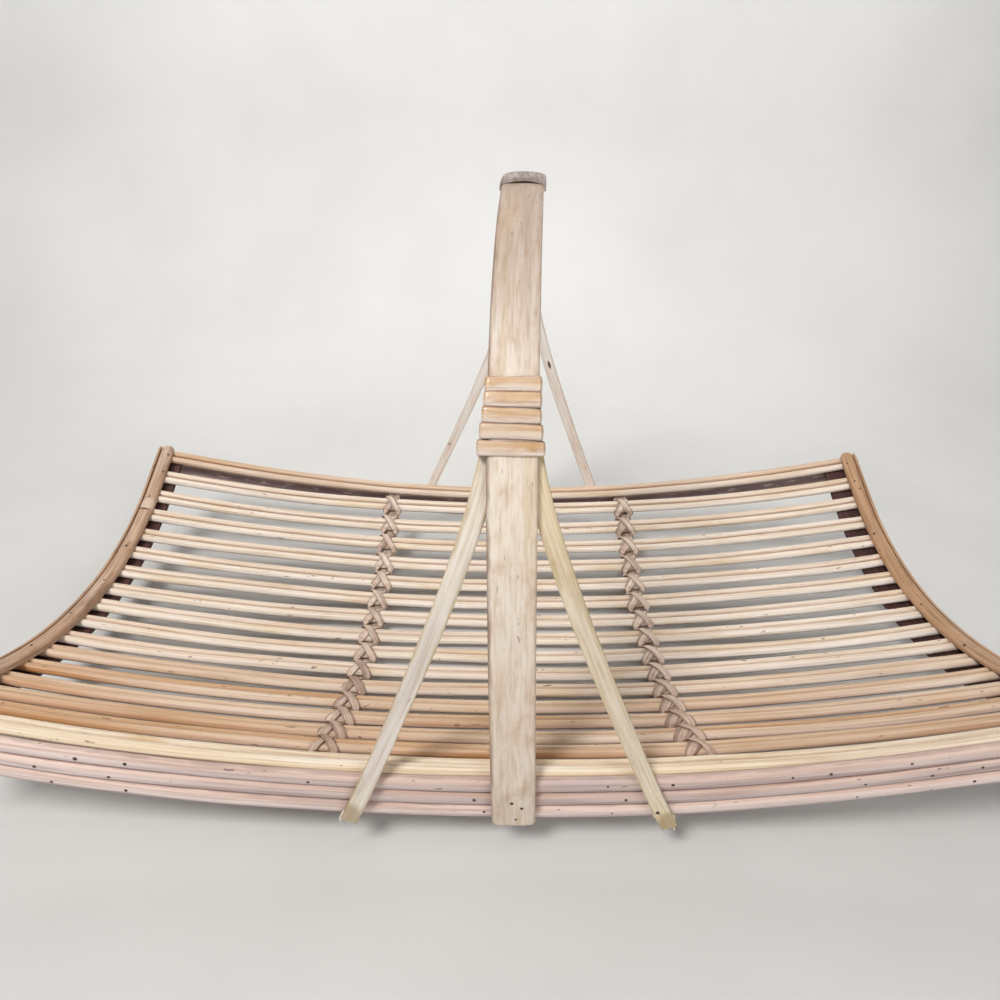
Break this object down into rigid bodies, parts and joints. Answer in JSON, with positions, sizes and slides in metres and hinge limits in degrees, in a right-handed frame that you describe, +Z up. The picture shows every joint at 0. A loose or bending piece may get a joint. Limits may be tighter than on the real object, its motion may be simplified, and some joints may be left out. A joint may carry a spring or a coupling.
{
  "type": "garden trug",
  "caption": "Shallow oblong tray of paired round canes between end bars, under a tall hooped flat handle braced by thin bowed struts, for carrying cut flowers and garden produce.",
  "frame": {"origin": "on the surface it stands on, under the middle of the tray", "axes": "+X along the canes to the right-hand end, +Y to the rear rim, +Z up"},
  "size_m": [0.6092, 0.341, 0.3175],
  "materials": {
    "straw_cane": "matte",
    "golden_cane": "satin",
    "brown_bar": "matte",
    "dark_bar": "matte",
    "pink_rod": "matte",
    "handle_bamboo": "satin",
    "binding_peel": "satin",
    "lashing_peel": "matte",
    "pale_strut": "matte",
    "crown_grey": "matte"
  },
  "bodies": {
    "root": {"binding_front": "binding_peel", "binding_rear": "binding_peel", "cane_01_front": "straw_cane", "cane_01_rear": "straw_cane", "cane_02_front": "straw_cane", "cane_02_rear": "straw_cane", "cane_03_front": "straw_cane", "cane_03_rear": "straw_cane", "cane_04_front": "straw_cane", "cane_04_rear": "straw_cane", "cane_05_front": "straw_cane", "cane_05_rear": "straw_cane", "cane_06_front": "straw_cane", "cane_06_rear": "straw_cane", "cane_07_front": "straw_cane", "cane_07_rear": "straw_cane", "cane_08_front": "straw_cane", "cane_08_rear": "straw_cane", "cane_09_front": "straw_cane", "cane_09_rear": "straw_cane", "cane_10_front": "straw_cane", "cane_10_rear": "straw_cane", "cane_11_front": "straw_cane", "cane_11_rear": "straw_cane", "cane_12_front": "straw_cane", "cane_12_rear": "straw_cane", "cane_13_front": "straw_cane", "cane_13_rear": "straw_cane", "cane_14_front": "straw_cane", "cane_14_rear": "straw_cane", "cane_15_front": "straw_cane", "cane_15_rear": "straw_cane", "cane_16_front": "straw_cane", "cane_16_rear": "straw_cane", "cane_17_front": "golden_cane", "cane_17_rear": "golden_cane", "crown_cover": "crown_grey", "end_bar_bottom_left": "dark_bar", "end_bar_bottom_right": "dark_bar", "end_bar_top_left": "brown_bar", "end_bar_top_right": "brown_bar", "end_strip_left": "brown_bar", "end_strip_right": "brown_bar", "handle_hoop": "handle_bamboo", "lashing_left": "lashing_peel", "lashing_right": "lashing_peel", "rib_left": "brown_bar", "rib_right": "brown_bar", "skirt_front_1": "pink_rod", "skirt_front_2": "pink_rod", "skirt_front_3": "pink_rod", "skirt_rear_1": "pink_rod", "skirt_rear_2": "pink_rod", "skirt_rear_3": "pink_rod", "strut_front_left": "pale_strut", "strut_front_right": "pale_strut", "strut_rear_left": "pale_strut", "strut_rear_right": "pale_strut"}
  },
  "joints": []
}
